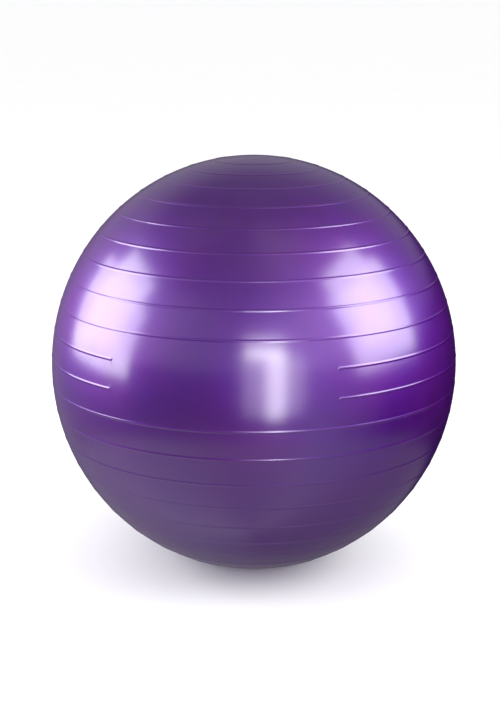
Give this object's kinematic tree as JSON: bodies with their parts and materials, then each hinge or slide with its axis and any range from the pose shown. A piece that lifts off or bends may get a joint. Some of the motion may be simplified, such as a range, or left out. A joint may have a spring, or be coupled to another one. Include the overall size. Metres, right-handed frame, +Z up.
{
  "type": "exercise ball",
  "caption": "Inflated ribbed exercise ball with a smooth front panel, a recessed air valve seat and a pull-out air plug; it rests on a small flat patch.",
  "frame": {"origin": "centre of the flat patch that the ball rests on, on the axis that the ribs run round", "axes": "+Z up along the rib axis; the smooth panel in the ribs faces -Y and the valve faces +Y; X runs across"},
  "size_m": [0.6347, 0.6348, 0.6486],
  "materials": {
    "skin_pvc": "satin",
    "valve_pvc": "satin",
    "plug_plastic": "satin"
  },
  "bodies": {
    "ball": {"skin": "skin_pvc", "valve_seat": "valve_pvc"},
    "plug": {"air_plug": "plug_plastic"}
  },
  "joints": [
    {"name": "plug_pull", "type": "slide", "parent": "ball", "child": "plug", "axis": [0, 0.9919, 0.1272], "range_m": [0, 0.04]}
  ]
}
